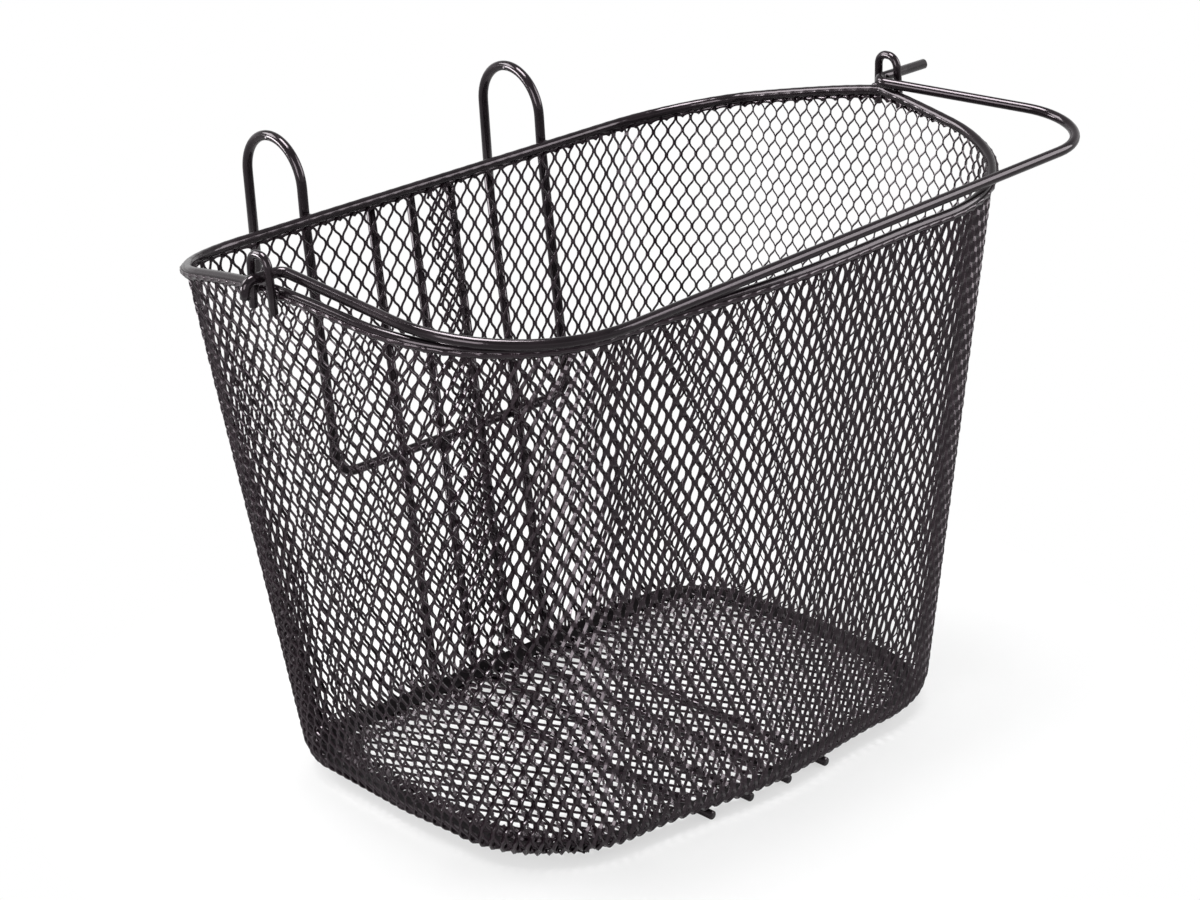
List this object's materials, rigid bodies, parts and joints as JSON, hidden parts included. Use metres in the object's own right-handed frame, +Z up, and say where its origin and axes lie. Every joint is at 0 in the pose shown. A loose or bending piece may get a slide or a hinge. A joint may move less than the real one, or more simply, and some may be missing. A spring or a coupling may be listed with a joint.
{
  "type": "handlebar basket",
  "caption": "Black wire handlebar basket of expanded diamond mesh with two over-bar hooks and a swinging bail handle.",
  "frame": {"origin": "on the ground under the basket, below the middle of the rim's two ears' line and 19 mm behind it, level with the underside of the support wires", "axes": "+Z up, -Y to the front, +X to the right of a rider who looks forward over the basket"},
  "size_m": [0.3838, 0.2844, 0.2729],
  "materials": {
    "black_paint": "gloss"
  },
  "bodies": {
    "basket": {"rim_wire": "black_paint", "back_mesh": "black_paint", "front_mesh": "black_paint", "right_rear_mesh": "black_paint", "right_fore_mesh": "black_paint", "left_rear_mesh": "black_paint", "left_fore_mesh": "black_paint", "back_right_mesh_1": "black_paint", "back_right_mesh_2": "black_paint", "back_left_mesh_1": "black_paint", "back_left_mesh_2": "black_paint", "front_right_mesh_1": "black_paint", "front_right_mesh_2": "black_paint", "front_left_mesh_1": "black_paint", "front_left_mesh_2": "black_paint", "floor_mesh": "black_paint", "support_wire_1": "black_paint", "support_wire_2": "black_paint", "support_wire_3": "black_paint", "support_wire_4": "black_paint", "hook_frame": "black_paint", "right_ear": "black_paint", "left_ear": "black_paint"},
    "bail": {"bail": "black_paint"}
  },
  "joints": [
    {"name": "bail_swing", "type": "hinge", "parent": "basket", "child": "bail", "pos_m": [0, -0.019, 0.2619], "axis": [-1, 0, 0], "range_deg": [0, 179]}
  ]
}
